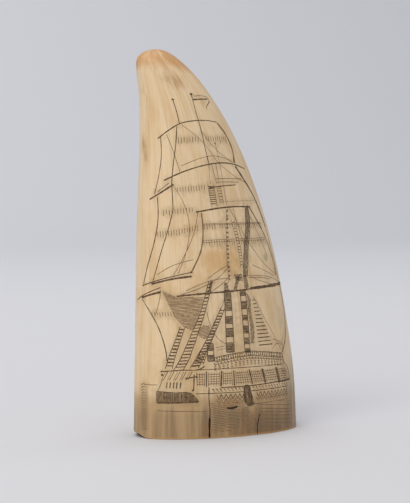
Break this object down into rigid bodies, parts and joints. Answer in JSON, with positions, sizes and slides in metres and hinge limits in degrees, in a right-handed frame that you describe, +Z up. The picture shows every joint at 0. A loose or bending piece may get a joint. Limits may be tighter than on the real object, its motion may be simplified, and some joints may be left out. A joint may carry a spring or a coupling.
{
  "type": "scrimshaw whale tooth",
  "caption": "Curved sperm whale tooth standing on its flat cut root, hollow at the base, with a sailing ship engraved over one broad side.",
  "frame": {"origin": "centre of the flat cut root, on the surface the tooth stands on", "axes": "+Z up along the tooth to its tip, +X across the broad width towards the bowed edge (the tip leans to -X), +Y through the thickness away from the engraved side"},
  "size_m": [0.0756, 0.0402, 0.16],
  "materials": {
    "ivory": null
  },
  "bodies": {
    "root": {"tooth": "ivory"}
  },
  "joints": []
}
